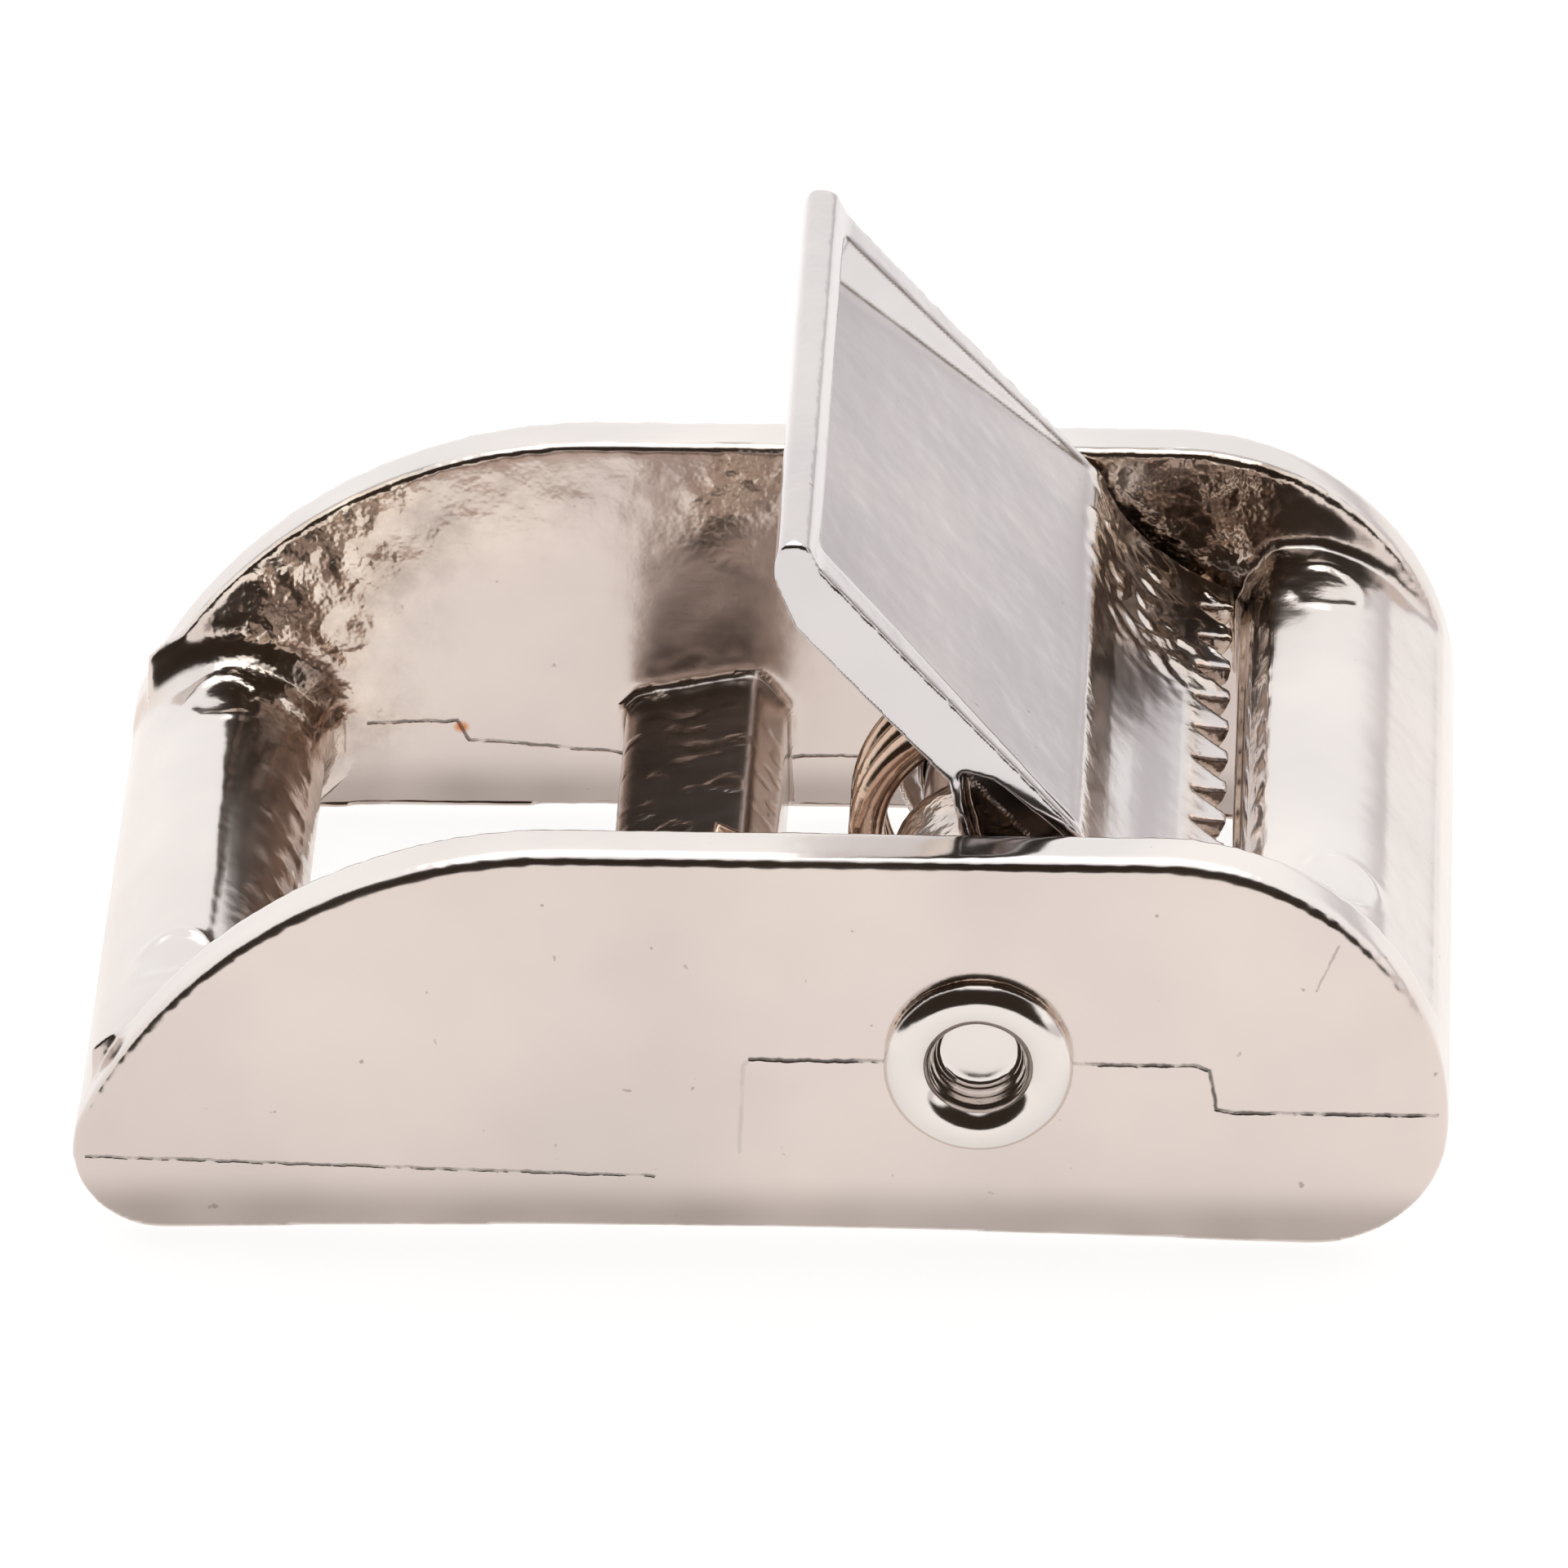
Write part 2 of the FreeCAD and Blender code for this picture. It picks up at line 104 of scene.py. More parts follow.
def set_points(mesh, points):
    mesh.vertices.foreach_set("co", points.ravel())
    mesh.update()


def relax(mesh, rounds, weight=None):
    """Moves each point towards the mean of its neighbours, which rounds edges and leaves flats flat."""
    ends = np.empty(len(mesh.edges) * 2, dtype=np.int64)
    mesh.edges.foreach_get("vertices", ends)
    first, second = ends.reshape(-1, 2).T
    points = points_of(mesh)
    count = np.bincount(first, minlength=len(points)) + np.bincount(second, minlength=len(points))
    pull = 0.5 if weight is None else 0.5 * weight[:, None]
    for _ in range(rounds):
        total = np.empty_like(points)
        for axis in range(3):
            total[:, axis] = (np.bincount(first, points[second, axis], len(points))
                              + np.bincount(second, points[first, axis], len(points)))
        points += (total / count[:, None] - points) * pull
    set_points(mesh, points)


def noise_field(points, scale, seed):
    """Smooth noise from -1 to 1 at each point, with a wavelength of about the given scale."""
    shift = Vector((seed * 17.3, seed * 5.9, seed * 11.1))
    return np.array([noise.noise(Vector(p) / scale + shift) for p in points])


def swell(mesh, amount):
    """Moves each point along its normal."""
    set_points(mesh, points_of(mesh) + normals_of(mesh) * amount[:, None])


def shade_smooth(obj):
    obj.data.polygons.foreach_set("use_smooth", [True] * len(obj.data.polygons))
    obj.data.update()


# ---------------------------------------------------------------- materials

class Shader:
    """A short way to wire a node material."""

    def __init__(self, name):
        self.material = bpy.data.materials.new(name)
        self.material.use_nodes = True
        self.nodes = self.material.node_tree.nodes
        self.links = self.material.node_tree.links
        self.surface = self.nodes["Principled BSDF"]
        self.place = self.nodes.new("ShaderNodeTexCoord").outputs["Object"]

    def stretched(self, scale):
        node = self.nodes.new("ShaderNodeMapping")
        node.inputs["Scale"].default_value = scale
        self.links.new(self.place, node.inputs["Vector"])
        return node.outputs["Vector"]

    def noise(self, scale, detail, roughness=0.55, vector=None):
        node = self.nodes.new("ShaderNodeTexNoise")
        node.inputs["Scale"].default_value = scale
        node.inputs["Detail"].default_value = detail
        node.inputs["Roughness"].default_value = roughness
        self.links.new(vector or self.place, node.inputs["Vector"])
        return node.outputs["Fac"]

    def ramp(self, value, stops):
        node = self.nodes.new("ShaderNodeValToRGB")
        ramp = node.color_ramp
        while len(ramp.elements) < len(stops):
            ramp.elements.new(0.5)
        for element, (at, colour) in zip(ramp.elements, stops):
            element.position = at
            element.color = (*colour, 1.0)
        self.links.new(value, node.inputs["Fac"])
        return node.outputs["Color"]

    def span(self, value, low, high, to_low, to_high):
        node = self.nodes.new("ShaderNodeMapRange")
        node.inputs["From Min"].default_value = low
        node.inputs["From Max"].default_value = high
        node.inputs["To Min"].default_value = to_low
        node.inputs["To Max"].default_value = to_high
        self.links.new(value, node.inputs["Value"])
        return node.outputs["Result"]

    def math(self, operation, first, second):
        node = self.nodes.new("ShaderNodeMath")
        node.operation = operation
        for socket, value in zip(node.inputs, (first, second)):
            if isinstance(value, (int, float)):
                socket.default_value = value
            else:
                self.links.new(value, socket)
        return node.outputs["Value"]

    def times(self, first, second):
        node = self.nodes.new("ShaderNodeMix")
        node.data_type = "RGBA"
        node.blend_type = "MULTIPLY"
        node.inputs["Factor"].default_value = 1.0
        self.links.new(first, node.inputs[6])
        self.links.new(second, node.inputs[7])
        return node.outputs[2]

    def mix(self, factor, first, second):
        node = self.nodes.new("ShaderNodeMix")
        node.data_type = "RGBA"
        self.links.new(factor, node.inputs["Factor"])
        for socket, value in ((node.inputs[6], first), (node.inputs[7], second)):
            if isinstance(value, tuple):
                socket.default_value = (*value, 1.0)
            else:
                self.links.new(value, socket)
        return node.outputs[2]

    def bump(self, height, distance, strength, under=None):
        node = self.nodes.new("ShaderNodeBump")
        node.inputs["Distance"].default_value = distance
        node.inputs["Strength"].default_value = strength
        self.links.new(height, node.inputs["Height"])
        if under is not None:
            self.links.new(under, node.inputs["Normal"])
        return node.outputs["Normal"]

    def axis(self, name, vector=None):
        node = self.nodes.new("ShaderNodeSeparateXYZ")
        self.links.new(vector or self.place, node.inputs["Vector"])
        return node.outputs[name]

    def vector_math(self, operation, first, second=(0.0, 0.0, 0.0)):
        node = self.nodes.new("ShaderNodeVectorMath")
        node.operation = operation
        self.links.new(first, node.inputs[0])
        if isinstance(second, tuple):
            node.inputs[1].default_value = second
        else:
            self.links.new(second, node.inputs[1])
        return node.outputs["Value" if operation == "LENGTH" else "Vector"]

    def shaky_place(self, scale, reach):
        """The place, moved about by up to the given reach, so lines drawn on it are uneven."""
        node = self.nodes.new("ShaderNodeTexNoise")
        node.inputs["Scale"].default_value = scale
        self.links.new(self.place, node.inputs["Vector"])
        shift = self.nodes.new("ShaderNodeMapRange")
        shift.data_type = "FLOAT_VECTOR"
        shift.inputs[9].default_value = (-reach, -reach, -reach)
        shift.inputs[10].default_value = (reach, reach, reach)
        self.links.new(node.outputs["Color"], shift.inputs[6])
        return self.vector_math("ADD", self.place, shift.outputs["Vector"])

    def away_from(self, place, start, end):
        """Distance from the line between two (x, z) points, whatever the y."""
        (x0, z0), (x1, z1) = start, end
        node = self.nodes.new("ShaderNodeMapping")
        node.vector_type = "TEXTURE"
        node.inputs["Location"].default_value = ((x0 + x1) / 2, 0, (z0 + z1) / 2)
        node.inputs["Rotation"].default_value = (0, -math.atan2(z1 - z0, x1 - x0), 0)
        self.links.new(place, node.inputs["Vector"])
        half = math.hypot(x1 - x0, z1 - z0) / 2
        folded = self.vector_math("ABSOLUTE", node.outputs["Vector"])
        past = self.vector_math("SUBTRACT", folded, (half, 1.0, 0.0))
        return self.vector_math("LENGTH", self.vector_math("MAXIMUM", past))

    def drawn(self, place, path, width):
        """1 on the lines through the (x, z) points in mm and 0 off them."""
        nearest = None
        for start, end in zip(path, path[1:]):
            away = self.away_from(place, tuple(c * MM for c in start), tuple(c * MM for c in end))
            nearest = away if nearest is None else self.math("MINIMUM", nearest, away)
        return self.span(nearest, width * 0.35, width, 1.0, 0.0)

    def painted(self, name):
        """A value that the mesh carries at each of its points."""
        node = self.nodes.new("ShaderNodeAttribute")
        node.attribute_name = name
        return node.outputs["Fac"]

    def give(self, **inputs):
        for name, value in inputs.items():
            socket = self.surface.inputs[name.replace("_", " ")]
            if isinstance(value, (int, float)):
                socket.default_value = value
            elif isinstance(value, tuple):
                socket.default_value = (*value, 1.0)
            else:
                self.links.new(value, socket)


# Die parting lines and marks on the plates, as (x, z) in mm.
TOP_LINE = [(-0.3, 7.14), (14.7, 7.13), (15.1, 6.95), (15.34, 5.45), (16.0, 5.35), (22.7, 5.34)]
FOOT_LINE = [(-22.6, 3.04), (-3.5, 2.56)]
RISER_LINE = [(-0.66, 3.5), (-0.5, 6.9), (-0.3, 7.14)]
INNER_LINE = [(-14.8, 3.7), (-11.7, 3.84), (-11.28, 3.1), (-6.1, 2.69), (14.0, 2.5)]
SCRATCH = [(19.38, 11.76), (18.63, 10.12)]
# A painted glint: a small orange spot on the inner faces.
ORANGE_GLINT_SPOT = [(-11.62, 3.58), (-11.5, 3.56)]

WHITE = (1.0, 1.0, 1.0)
SPECK_BROWN = (0.36, 0.30, 0.26)
# The colour of painted shade.
PAINTED_SHADE_BROWN = (0.16, 0.125, 0.105)
LINE_DARK = (0.05, 0.04, 0.035)
GLINT_ORANGE = (0.62, 0.26, 0.12)
CAST_SKIN = [(0.36, (0.32, 0.22, 0.15)), (0.50, (0.70, 0.56, 0.44)), (0.66, (0.95, 0.82, 0.68))]

# Noise scales of fine brushing, stretched along one axis.
ALONG_X = (160, 2600, 2600)
ALONG_Y = (2600, 160, 2600)


def die_lines(shader):
    """The fine dark lines where the die halves met, on the plates' outer and inner faces, and a painted orange
    glint as a small spot.
    """
    place = shader.shaky_place(1800, 0.09 * MM)
    side = shader.math("ABSOLUTE", shader.axis("Y"), 0)
    outer = shader.span(side, 15.1 * MM, 15.4 * MM, 0.0, 1.0)
    inner = shader.math("MULTIPLY", shader.span(side, 13.30 * MM, 13.42 * MM, 0.0, 1.0),
                        shader.span(side, 14.1 * MM, 14.3 * MM, 1.0, 0.0))

    def faint(path, width, strength):
        return shader.math("MULTIPLY", shader.drawn(place, path, width * MM), strength)

    seams = shader.math("MAXIMUM", faint(TOP_LINE, 0.09, 0.85), faint(FOOT_LINE, 0.075, 0.6))
    marks = shader.math("MAXIMUM", faint(RISER_LINE, 0.10, 0.14), faint(SCRATCH, 0.06, 0.35))
    outside = shader.math("MULTIPLY", shader.math("MAXIMUM", seams, marks), outer)
    inside = shader.math("MULTIPLY", faint(INNER_LINE, 0.08, 0.75), inner)
    broken = shader.span(shader.noise(900, detail=3), 0.36, 0.50, 0.25, 1.0)
    # Painted glint: the small orange spot, on the inner faces only.
    glint = shader.math("MULTIPLY", shader.drawn(place, ORANGE_GLINT_SPOT, 0.26 * MM), inner)
    return shader.math("MULTIPLY", shader.math("ADD", outside, inside), broken), glint


def plated_tint(shader, cloud, side, top):
    """The nickel's colour with painted light and shade: side faces and top faces get their own tints for how
    each looks lit, warmer on the sides than on top, clouded at two scales, with small brown specks.
    """
    facing = shader.nodes.new("ShaderNodeTexCoord").outputs["Normal"]
    upward = shader.span(shader.axis("Z", facing), 0.35, 0.85, 0.0, 1.0)
    wide_cloud = shader.noise(45, detail=4, roughness=0.6)
    shade = shader.times(shader.ramp(cloud, [(0.36, (0.92, 0.93, 0.95)), (0.64, WHITE)]),
                         shader.ramp(wide_cloud, [(0.35, (0.91, 0.90, 0.90)), (0.62, WHITE)]))
    # Painted light and shade: the tint follows which way a face points, side against top.
    tint = shader.times(shader.mix(upward, side, top), shade)
    speck = shader.span(shader.noise(1500, detail=2, roughness=0.5), 0.745, 0.79, 0.0, 0.8)
    return shader.mix(speck, tint, SPECK_BROWN)


def nickel(name, brushing, side=(0.73, 0.635, 0.585), top=(0.77, 0.725, 0.70), rough=(0.13, 0.22), lines=False):
    """Bright nickel over a zinc casting: cloudy satin, fine brushing, orange peel and small pits. Where the
    mesh is painted with skin it is knobbly, brown and golden, and where it carries painted shade it is dark."""
    shader = Shader(name)
    shader.give(Metallic=1.0)
    cloud = shader.noise(110, detail=3, roughness=0.5)
    brush = shader.noise(1, detail=3, roughness=0.6, vector=shader.stretched(brushing))
    skin = shader.painted("skin")
    cast = shader.ramp(shader.noise(420, detail=5, roughness=0.65), CAST_SKIN)
    tint = shader.mix(shader.math("MULTIPLY", skin, 0.85), plated_tint(shader, cloud, side, top), cast)
    # Painted shade: darkened to deep brown where the mesh carries painted shade.
    tint = shader.mix(shader.painted("painted_shade"), tint, PAINTED_SHADE_BROWN)
    cloud_rough = shader.span(cloud, 0.3, 0.7, rough[0], rough[1])
    streak = shader.span(brush, 0.3, 0.7, -0.01, 0.012)
    peel = shader.bump(shader.noise(650, detail=2, roughness=0.45), 0.05 * MM, 0.30)
    brushed = shader.bump(brush, 0.02 * MM, 0.06, peel)
    pits = shader.bump(shader.noise(900, detail=5, roughness=0.6), 0.03 * MM, 0.20, brushed)
    lumps = shader.math("MULTIPLY", shader.noise(800, detail=3), skin)
    relief = shader.bump(lumps, 0.22 * MM, 0.9, pits)
    if lines:
        drawn, glint = die_lines(shader)
        # The painted orange glint goes under the dark die lines.
        tint = shader.mix(drawn, shader.mix(glint, tint, GLINT_ORANGE), LINE_DARK)
        relief = shader.bump(drawn, -0.08 * MM, 0.5, relief)
    shader.give(Base_Color=tint, Roughness=shader.math("ADD", cloud_rough, streak), Normal=relief)
    return shader.material


# Each metal's side and top tints are painted light and shade: the colour that facing shows as lit.
casting = nickel("nickel_casting", ALONG_X, lines=True)
lever_metal = nickel("nickel_lever", ALONG_Y, side=(0.75, 0.71, 0.70), top=(0.69, 0.65, 0.645))
rivet_metal = nickel("nickel_rivet", ALONG_X, side=(0.78, 0.72, 0.68), rough=(0.08, 0.15))
wire_metal = nickel("spring_wire", ALONG_X, side=(0.60, 0.43, 0.33), top=(0.60, 0.43, 0.33),
                    rough=(0.09, 0.18))


# ---------------------------------------------------------------- castings

def finish_piece(piece, body, material, replaced):
    piece.data.materials.append(material)
    shade_smooth(piece)
    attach(piece, body)
    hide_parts(replaced)


def paint(mesh, name, values):
    layer = mesh.attributes.new(name, "FLOAT", "POINT")
    layer.data.foreach_set("value", np.clip(values, 0, 1).astype(np.float32))


def soft_step(values, low, high):
    share = np.clip((values - low) / (high - low), 0, 1)
    return share * share * (3 - 2 * share)


def ring_mark(points, centre, radius, across, uneven):
    """Height of an ejector-pin witness: a broken raised rim round a faint dip."""
    away = np.hypot(points[:, 0] - centre[0], (points[:, 1] - centre[1]) * 0.9) * (1 + 0.10 * uneven)
    rim = np.exp(-((away - radius) / across) ** 2) * (0.75 + 0.6 * uneven)
    dip = 1 / (1 + np.exp((away - radius * 0.9) / (across * 0.6)))
    return rim - 0.6 * dip


def add_flare(piece, wall, inward):
    """A soft fillet where the rear bar runs into a plate, as rings that widen towards the wall."""
    radius = 1.7 * MM
    sunk = 0.3 * MM
    steps = 9
    around = 40
    centre_x = frame_low.x + 3.75 * MM
    centre_z = 3.35 * MM
    wide = 3.1 * MM
    tall = 2.75 * MM
    least_x = frame_low.x + 0.6 * MM
    least_z = frame_low.z + 0.5 * MM
    shell = bmesh.new()
    shell.from_mesh(piece.data)
    rings = []
    for step in range(steps + 1):
        turn = math.radians(90) * step / steps
        grow = radius * (1 - math.sin(turn))
        out = radius * (1 - math.cos(turn)) if step else -sunk
        ring = []
        for spoke in range(around):
            angle = 2 * math.pi * spoke / around
            x = max(centre_x + (wide + grow) * math.cos(angle), least_x)
            z = max(centre_z + (tall + grow * 0.75) * math.sin(angle), least_z)
            ring.append(shell.verts.new((x, wall + inward * out, z)))
        rings.append(ring)
    for ring, following in zip(rings, rings[1:]):
        for spoke in range(around):
            after = (spoke + 1) % around
            shell.faces.new((ring[spoke], ring[after], following[after], following[spoke]))
    shell.faces.new(rings[0])
    shell.faces.new(rings[-1])
    bmesh.ops.recalc_face_normals(shell, faces=shell.faces)
    shell.to_mesh(piece.data)
    shell.free()


def blob(points, centre, reach):
    """1 at an (x, y, z) place in mm and fading to 0 over the reach."""
    away = np.linalg.norm(points - np.array(centre) * MM, axis=1)
    return np.exp(-(away / (reach * MM)) ** 2)


# Ejector-pin marks as (x, y) in mm on the front and rear bars.
FRONT_BAR_PINS = [(18.56, 10.8), (19.31, -9.4)]
REAR_BAR_PINS = [(-19.7, 10.9), (-20.2, -7.0)]

# Patches of cast skin on the frame, as place and reach in mm, and strength.
SKIN_PATCHES = [
    ((-17.0, 13.4, 4.8), 3.2, 0.55),
    ((-18.2, 13.4, 8.4), 1.8, 0.75),
    ((-2.2, 13.4, 13.3), 2.4, 0.6),
    ((14.5, 13.4, 12.3), 4.0, 0.9),
    ((-14.8, 13.4, 12.0), 3.2, 0.8),
    ((-9.0, 13.4, 13.4), 2.5, 0.25),
    ((10.0, 13.4, 12.0), 3.5, 0.45),
    ((-17.5, -13.4, 4.8), 3.0, 0.9),
]


class FrameZones:
    """Which points of the frame lie on its plates and on each bar."""

    def __init__(self, points):
        x, y, z = points.T
        self.inner = (y > NEAR_INNER + 0.05 * MM) & (y < FAR_INNER - 0.05 * MM)
        self.plates = (y < NEAR_INNER + 0.1 * MM) | (y > FAR_INNER - 0.1 * MM)
        self.inner_faces = (np.abs(y - FAR_INNER) < 0.3 * MM) | (np.abs(y - NEAR_INNER) < 0.3 * MM)
        self.front_bar = self.inner & (x > frame_high.x - 7 * MM) & (z > 5 * MM)
        self.rear_bar = self.inner & (x < frame_low.x + 7.5 * MM)
        self.rear_bar_top = self.rear_bar & (z > 3 * MM)
        self.middle_bar = self.inner & (np.abs(x + 3 * MM) < 4 * MM) & (z > 3 * MM)


def pin_marks(points, upward, uneven, zones):
    """Height of the ejector-pin marks on the front and rear bars."""
    height = np.zeros(len(points))
    for pins, zone, radius, across in (
            (FRONT_BAR_PINS, zones.front_bar, 1.3, 0.22),
            (REAR_BAR_PINS, zones.rear_bar_top, 1.25, 0.24)):
        for place_x, place_y in pins:
            centre = (place_x * MM, place_y * MM)
            mark = ring_mark(points, centre, radius * MM, across * MM, uneven)
            height += np.where(zone, mark * upward * 0.10 * MM, 0)
    return height


def frame_skin(points, normals, wave, ripple, zones):
    """Where cast skin is left because polishing can't reach: bar roots, inner flanks and pockets."""
    skin = sum(strength * blob(points, place, reach) for place, reach, strength in SKIN_PATCHES)
    skin *= 0.6 + 0.8 * np.clip(wave + 0.5, 0, 1)
    far_face = np.exp(-((points[:, 1] - FAR_INNER) / (0.5 * MM)) ** 2)
    rearward = soft_step(-points[:, 0], 10 * MM, 17 * MM)
    skin += 0.18 * far_face * soft_step(ripple, 0.0, 0.5) * rearward
    flank = soft_step(normals[:, 0], 0.35, 0.8) * zones.rear_bar
    flank += soft_step(-normals[:, 0], 0.4, 0.8) * zones.front_bar
    skin += flank * (0.35 + 0.4 * ripple)
    skin += zones.middle_bar * soft_step(-ripple, 0.0, 0.5) * 0.35
    return skin * (zones.inner | zones.inner_faces)


def make_frame():
    piece = remeshed_copy("frame", "frame_casting", 0.15 * MM, flares=True)
    mesh = piece.data
    relax(mesh, 8)
    # The far plate's front root is softer than the other edges.
    relax(mesh, 14, np.clip(1.6 * blob(points_of(mesh), (18.0, 13.4, 10.0), 3.5), 0, 1))
    points = points_of(mesh)
    normals = normals_of(mesh)
    x, _, z = points.T
    sideways = np.abs(normals[:, 1])
    upward = np.clip(normals[:, 2], 0, 1)
    wave = noise_field(points, 2.6 * MM, 1)
    ripple = noise_field(points, 0.9 * MM, 2)
    grain = noise_field(points, 0.45 * MM, 7)
    zones = FrameZones(points)
    skin = frame_skin(points, normals, wave, ripple, zones)
    lift = (wave * 0.012 + ripple * 0.005 + skin * (grain * 0.018 + ripple * 0.05)) * MM
    lift += pin_marks(points, upward, ripple, zones)
    # The plates thin towards their feet.
    foot = np.clip((3.2 * MM - z) / (3.2 * MM), 0, 1)
    lift -= np.where(zones.plates, foot ** 2 * 0.32 * MM * sideways, 0)
    # Trimmed flash leaves the plates' rims a little ragged, and a slight step along the rear bar.
    rim = zones.plates & (sideways > 0.25) & (sideways < 0.97)
    lift += np.where(rim, grain * 0.022 * MM, 0)
    step = soft_step(x, -19.2 * MM + wave * 0.25 * MM, -18.9 * MM + grain * 0.12 * MM)
    lift -= np.where(zones.rear_bar & (z > 4 * MM), step * upward * 0.05 * MM, 0)
    swell(mesh, lift)
    paint(mesh, "skin", skin)
    # Painted shade: the plates are darkened towards their feet, for the shadowed floor that they reflect there.
    foot_shade = soft_step(-z, -2.7 * MM, -0.9 * MM) * (0.44 + 0.12 * wave)
    paint(mesh, "painted_shade", foot_shade * zones.plates * (sideways > 0.5))
    finish_piece(piece, "frame", casting, "frame")


def lever_skin(along, above, points, normals, wave, ripple):
    """Cast skin on the cam, in its tooth gaps, on the step behind it, under the lever and in its side
    pockets. Also returned on its own is the skin of the cam's face, which is crumpled."""
    y = points[:, 1]
    cam = 1 - soft_step(-along, 3.0 * MM, 3.8 * MM)
    # The cam's face is clean towards the near side and as cast towards the far side.
    face = cam * 0.75 * soft_step(y, 2.5 * MM, 7.5 * MM) * soft_step(wave + ripple * 0.5, -0.3, 0.3)
    tooth_gaps = soft_step(along, 1.6 * MM, 2.2 * MM) * soft_step(-above, -7.55 * MM, -7.0 * MM)
    step_wall = cam * np.exp(-((along + 2.9 * MM) / (0.5 * MM)) ** 2)
    hidden = soft_step(-above, -5.2 * MM, -4.4 * MM) * soft_step(along, -9 * MM, -6 * MM)
    flank = soft_step(np.abs(normals[:, 1]), 0.6, 0.9)
    pocket = (above < 5.3 * MM) & (along > -9 * MM) & (np.abs(y) < 12.6 * MM) & (np.abs(y) > 9.5 * MM)
    skin = np.maximum(face, tooth_gaps * (0.85 + 0.25 * ripple))
    skin = np.maximum(skin, step_wall * 0.4)
    skin = np.maximum(skin, hidden * (1 - 0.85 * flank) * (0.6 + 0.4 * wave))
    return np.maximum(skin, pocket * 0.75), face


def make_lever():
    piece = remeshed_copy("cam_lever", "cam_lever_casting", 0.11 * MM)
    mesh = piece.data
    relax(mesh, 6)
    points = points_of(mesh)
    normals = normals_of(mesh)
    wave = noise_field(points, 2.2 * MM, 3)
    ripple = noise_field(points, 0.7 * MM, 4)
    grain = noise_field(points, 0.35 * MM, 5)
    # The lever's own directions: along the thumb plate towards the cam, and away from its top.
    from_pivot = points - np.array(pivot)
    along = from_pivot[:, 0] * math.cos(REST_TURN) - from_pivot[:, 2] * math.sin(REST_TURN)
    above = from_pivot[:, 0] * math.sin(REST_TURN) + from_pivot[:, 2] * math.cos(REST_TURN)
    facing_top = normals[:, 0] * math.sin(REST_TURN) + normals[:, 2] * math.cos(REST_TURN)
    skin, face = lever_skin(along, above, points, normals, wave, ripple)
    lift = (wave * 0.012 + ripple * 0.004 + skin * grain * 0.025 + face * ripple * 0.16) * MM
    # Nicks along the thumb plate's rims.
    thumb = soft_step(-along, 3.0 * MM, 3.8 * MM)
    edge = (np.abs(points[:, 1]) > 12.5 * MM) | (along < -17.2 * MM)
    rim = thumb * edge * ((facing_top > 0.3) & (facing_top < 0.96))
    lift += rim * grain * 0.025 * MM
    swell(mesh, lift)
    paint(mesh, "skin", skin)
    # Painted shade: dark lines along both edges of the dish's slopes.
    bend = np.exp(-((facing_top - 0.94) / 0.05) ** 2) * soft_step(np.abs(normals[:, 1]), 0.10, 0.20)
    paint(mesh, "painted_shade", thumb * bend * (above > 5.6 * MM) * (1.1 + 0.4 * ripple))
    finish_piece(piece, "lever", lever_metal, "cam_lever")


def make_rivet():
    piece = remeshed_copy("pivot_rivet", "rolled_rivet", 0.08 * MM)
    mesh = piece.data
    relax(mesh, 5)
    points = points_of(mesh)
    swell(mesh, noise_field(points, 1.1 * MM, 6) * 0.012 * MM)
    # Painted reflection: brown and golden cast skin is put round the upper half of the rolled edge's root only,
    # as a crescent of dark and orange reflection.
    off_axis = np.hypot(points[:, 0] - pivot.x, points[:, 2] - pivot.z)
    at_face = np.exp(-((points[:, 1] - NEAR_FACE) / (0.25 * MM)) ** 2)
    root = at_face * soft_step(off_axis, 2.6 * MM, 2.9 * MM)
    upper = soft_step(points[:, 2] - pivot.z, 0.0, 1.5 * MM)
    paint(mesh, "skin", root * upper)
    finish_piece(piece, "frame", rivet_metal, "pivot_rivet")


def make_spring():
    piece = remeshed_copy("torsion_spring", "torsion_spring_wire", 0.09 * MM)
    mesh = piece.data
    relax(mesh, 4)
    paint(mesh, "skin", 0.25 + 0.35 * noise_field(points_of(mesh), 1.2 * MM, 8))
    mesh.materials.append(wire_metal)
    shade_smooth(piece)
    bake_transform(piece)
    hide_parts("torsion_spring")


make_frame()
make_lever()
make_rivet()
make_spring()


# ---------------------------------------------------------------- studio

def make_floor():
    mesh = bpy.data.meshes.new("floor")
    reach = 6.0
    corners = [(-reach, -reach, 0), (reach, -reach, 0), (reach, reach, 0), (-reach, reach, 0)]
    mesh.from_pydata(corners, [], [(0, 1, 2, 3)])
    floor = bpy.data.objects.new("floor", mesh)
    bpy.context.scene.collection.objects.link(floor)
    floor.location.z = frame_low.z - 0.02 * MM
    shader = Shader("pale_floor")
    shader.give(Base_Color=(0.24, 0.235, 0.23), Roughness=0.9, Emission_Color=(1.0, 0.995, 0.985),
                Emission_Strength=0.90)
    floor.data.materials.append(shader.material)


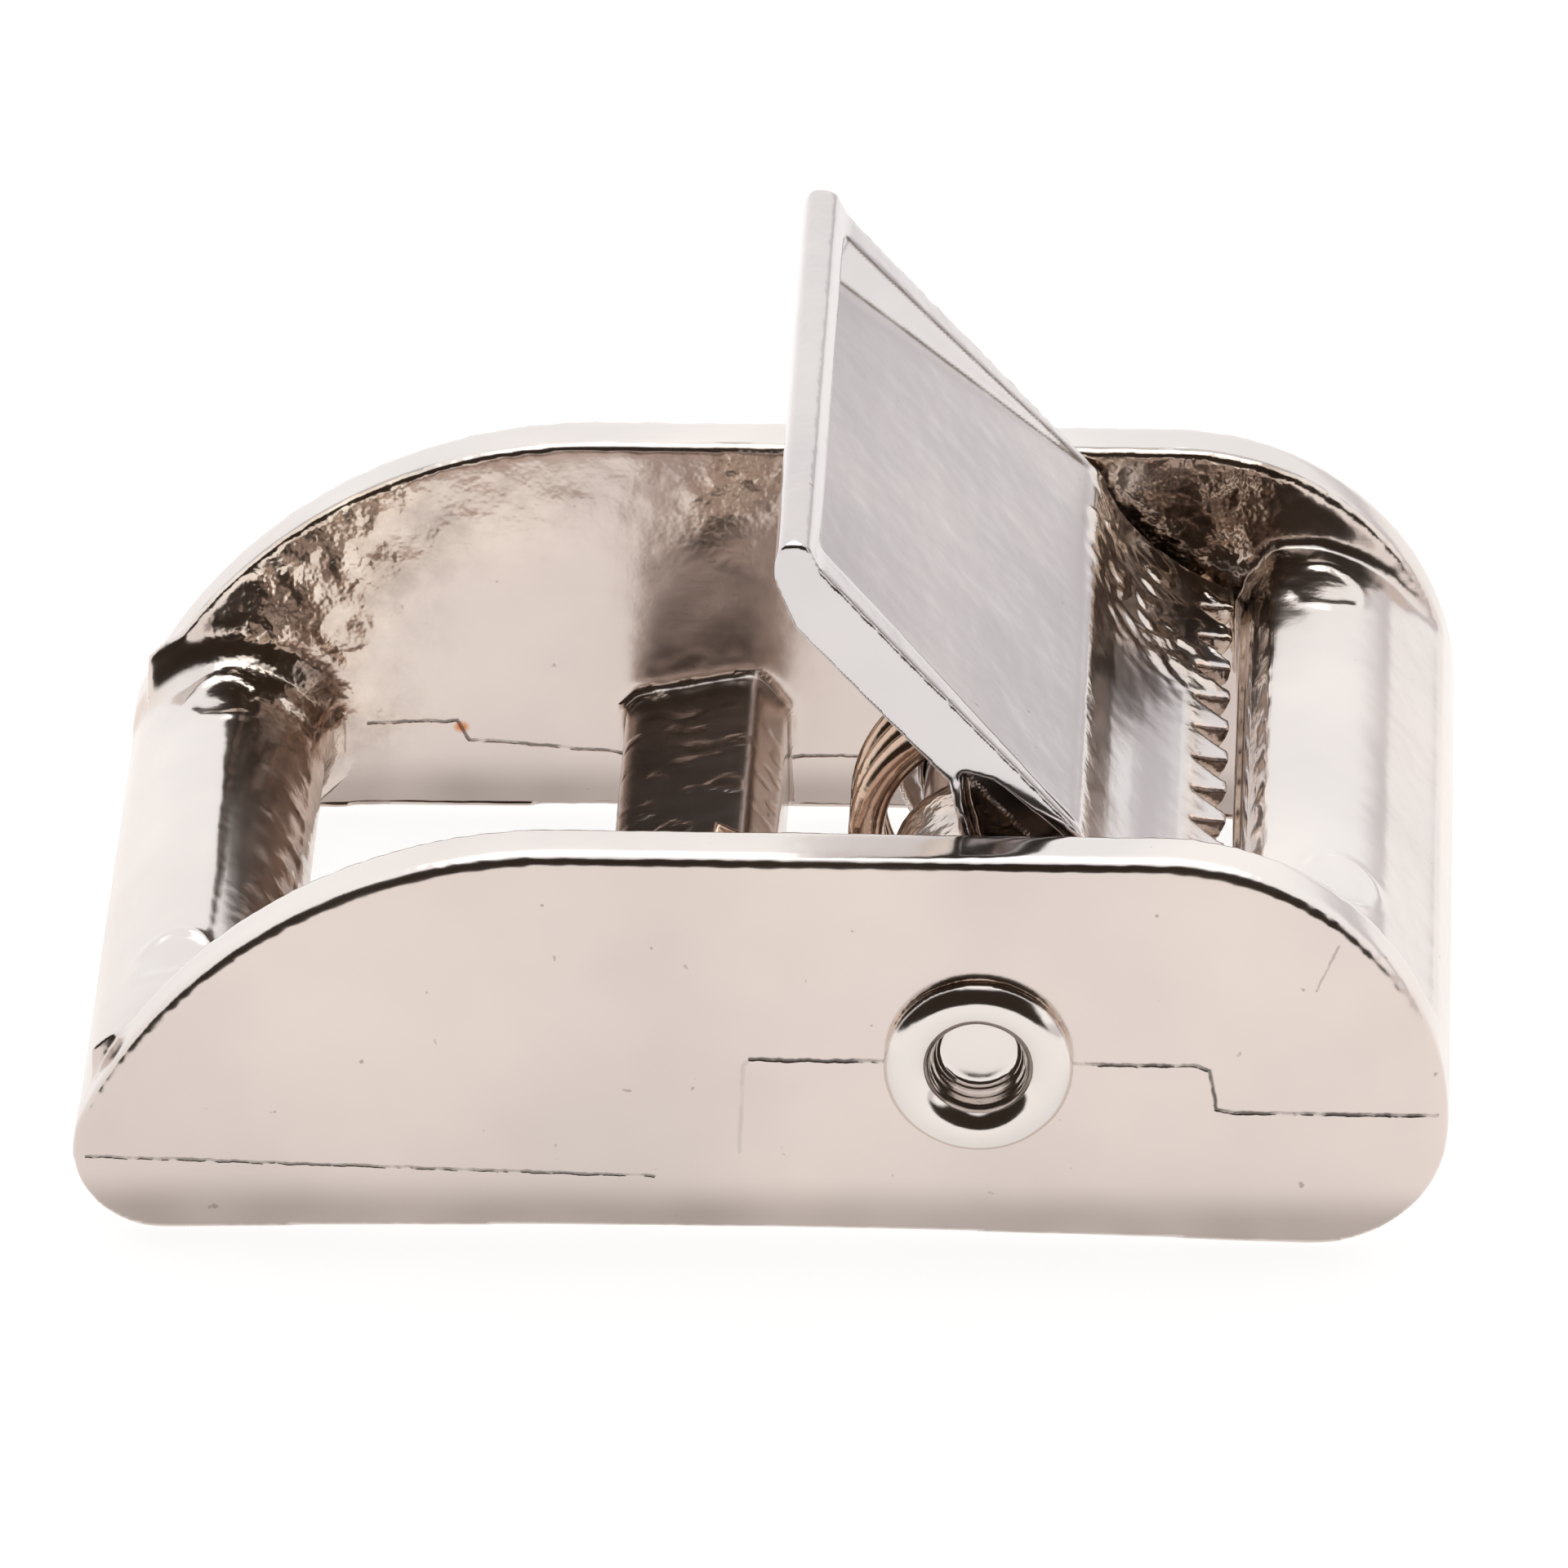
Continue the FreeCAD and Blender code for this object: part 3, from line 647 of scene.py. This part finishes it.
def make_world():
    """A white tent round the back, top and right, duller low on the right, and a dark room in front."""
    world = bpy.data.worlds.new("studio")
    bpy.context.scene.world = world
    world.use_nodes = True
    nodes = world.node_tree.nodes
    links = world.node_tree.links
    background = nodes["Background"]
    place = nodes.new("ShaderNodeTexCoord")
    split = nodes.new("ShaderNodeSeparateXYZ")
    links.new(place.outputs["Generated"], split.inputs["Vector"])

    def ramp(value, low, high, to_low, to_high):
        node = nodes.new("ShaderNodeMapRange")
        node.interpolation_type = "SMOOTHSTEP"
        node.inputs["From Min"].default_value = low
        node.inputs["From Max"].default_value = high
        node.inputs["To Min"].default_value = to_low
        node.inputs["To Max"].default_value = to_high
        links.new(value, node.inputs["Value"])
        return node.outputs["Result"]

    def times(first, second):
        node = nodes.new("ShaderNodeMath")
        node.operation = "MULTIPLY"
        links.new(first, node.inputs[0])
        links.new(second, node.inputs[1])
        return node.outputs["Value"]

    front = ramp(split.outputs["Y"], -0.20, 0.10, 1.0, 0.0)
    raised = ramp(split.outputs["Z"], 0.00, 0.08, 0.0, 1.0)
    overhead = ramp(split.outputs["Z"], 0.90, 0.99, 1.0, 0.0)
    off_panel = ramp(split.outputs["X"], 0.72, 0.85, 1.0, 0.0)
    dark = times(times(times(front, raised), overhead), off_panel)
    right = ramp(split.outputs["X"], 0.15, 0.45, 0.0, 1.0)
    low = ramp(split.outputs["Z"], 0.10, 0.28, 1.0, 0.0)
    back = nodes.new("ShaderNodeMix")
    back.data_type = "RGBA"
    back.inputs[6].default_value = (1.0, 0.99, 0.975, 1.0)
    back.inputs[7].default_value = (0.66, 0.63, 0.635, 1.0)
    links.new(times(right, low), back.inputs["Factor"])
    mix = nodes.new("ShaderNodeMix")
    mix.data_type = "RGBA"
    links.new(back.outputs[2], mix.inputs[6])
    mix.inputs[7].default_value = (0.030, 0.022, 0.016, 1.0)
    links.new(dark, mix.inputs["Factor"])
    links.new(mix.outputs[2], background.inputs["Color"])
    background.inputs["Strength"].default_value = 1.18


def area_light(name, place, target, width, length, power, colour):
    data = bpy.data.lights.new(name, "AREA")
    data.shape = "RECTANGLE"
    data.size = width
    data.size_y = length
    data.energy = power
    data.color = colour
    light = bpy.data.objects.new(name, data)
    bpy.context.scene.collection.objects.link(light)
    light.location = place
    light.rotation_euler = (Vector(target) - Vector(place)).to_track_quat("-Z", "Y").to_euler()


def make_camera():
    """A long lens, a little to the right of square on and 29 degrees above the floor."""
    yaw = math.radians(2.43)
    pitch = math.radians(29.25)
    roll = math.radians(-0.41)
    distance = 0.614
    forward = Vector((-math.sin(yaw) * math.cos(pitch), math.cos(yaw) * math.cos(pitch), -math.sin(pitch)))
    level = Vector((math.cos(yaw), math.sin(yaw), 0))
    upright = level.cross(forward)
    right = level * math.cos(roll) + upright * math.sin(roll)
    up = upright * math.cos(roll) - level * math.sin(roll)
    target = Vector((0, 0, 7.5 * MM))
    data = bpy.data.cameras.new("camera")
    data.sensor_width = 36
    data.lens = 412.5
    data.shift_x = 0.005
    data.shift_y = 0.0243
    data.clip_start = 0.05
    camera = bpy.data.objects.new("camera", data)
    bpy.context.scene.collection.objects.link(camera)
    turn = Matrix((right, up, -forward)).transposed()
    camera.matrix_world = Matrix.Translation(target - forward * distance) @ turn.to_4x4()
    bpy.context.scene.camera = camera


make_floor()
make_world()
area_light("overhead", (0.0, 0.25, 0.55), (0, 0, 0.005), 0.5, 0.5, 0.9, (1.0, 0.99, 0.97))
make_camera()
bpy.context.scene.view_settings.view_transform = "Standard"
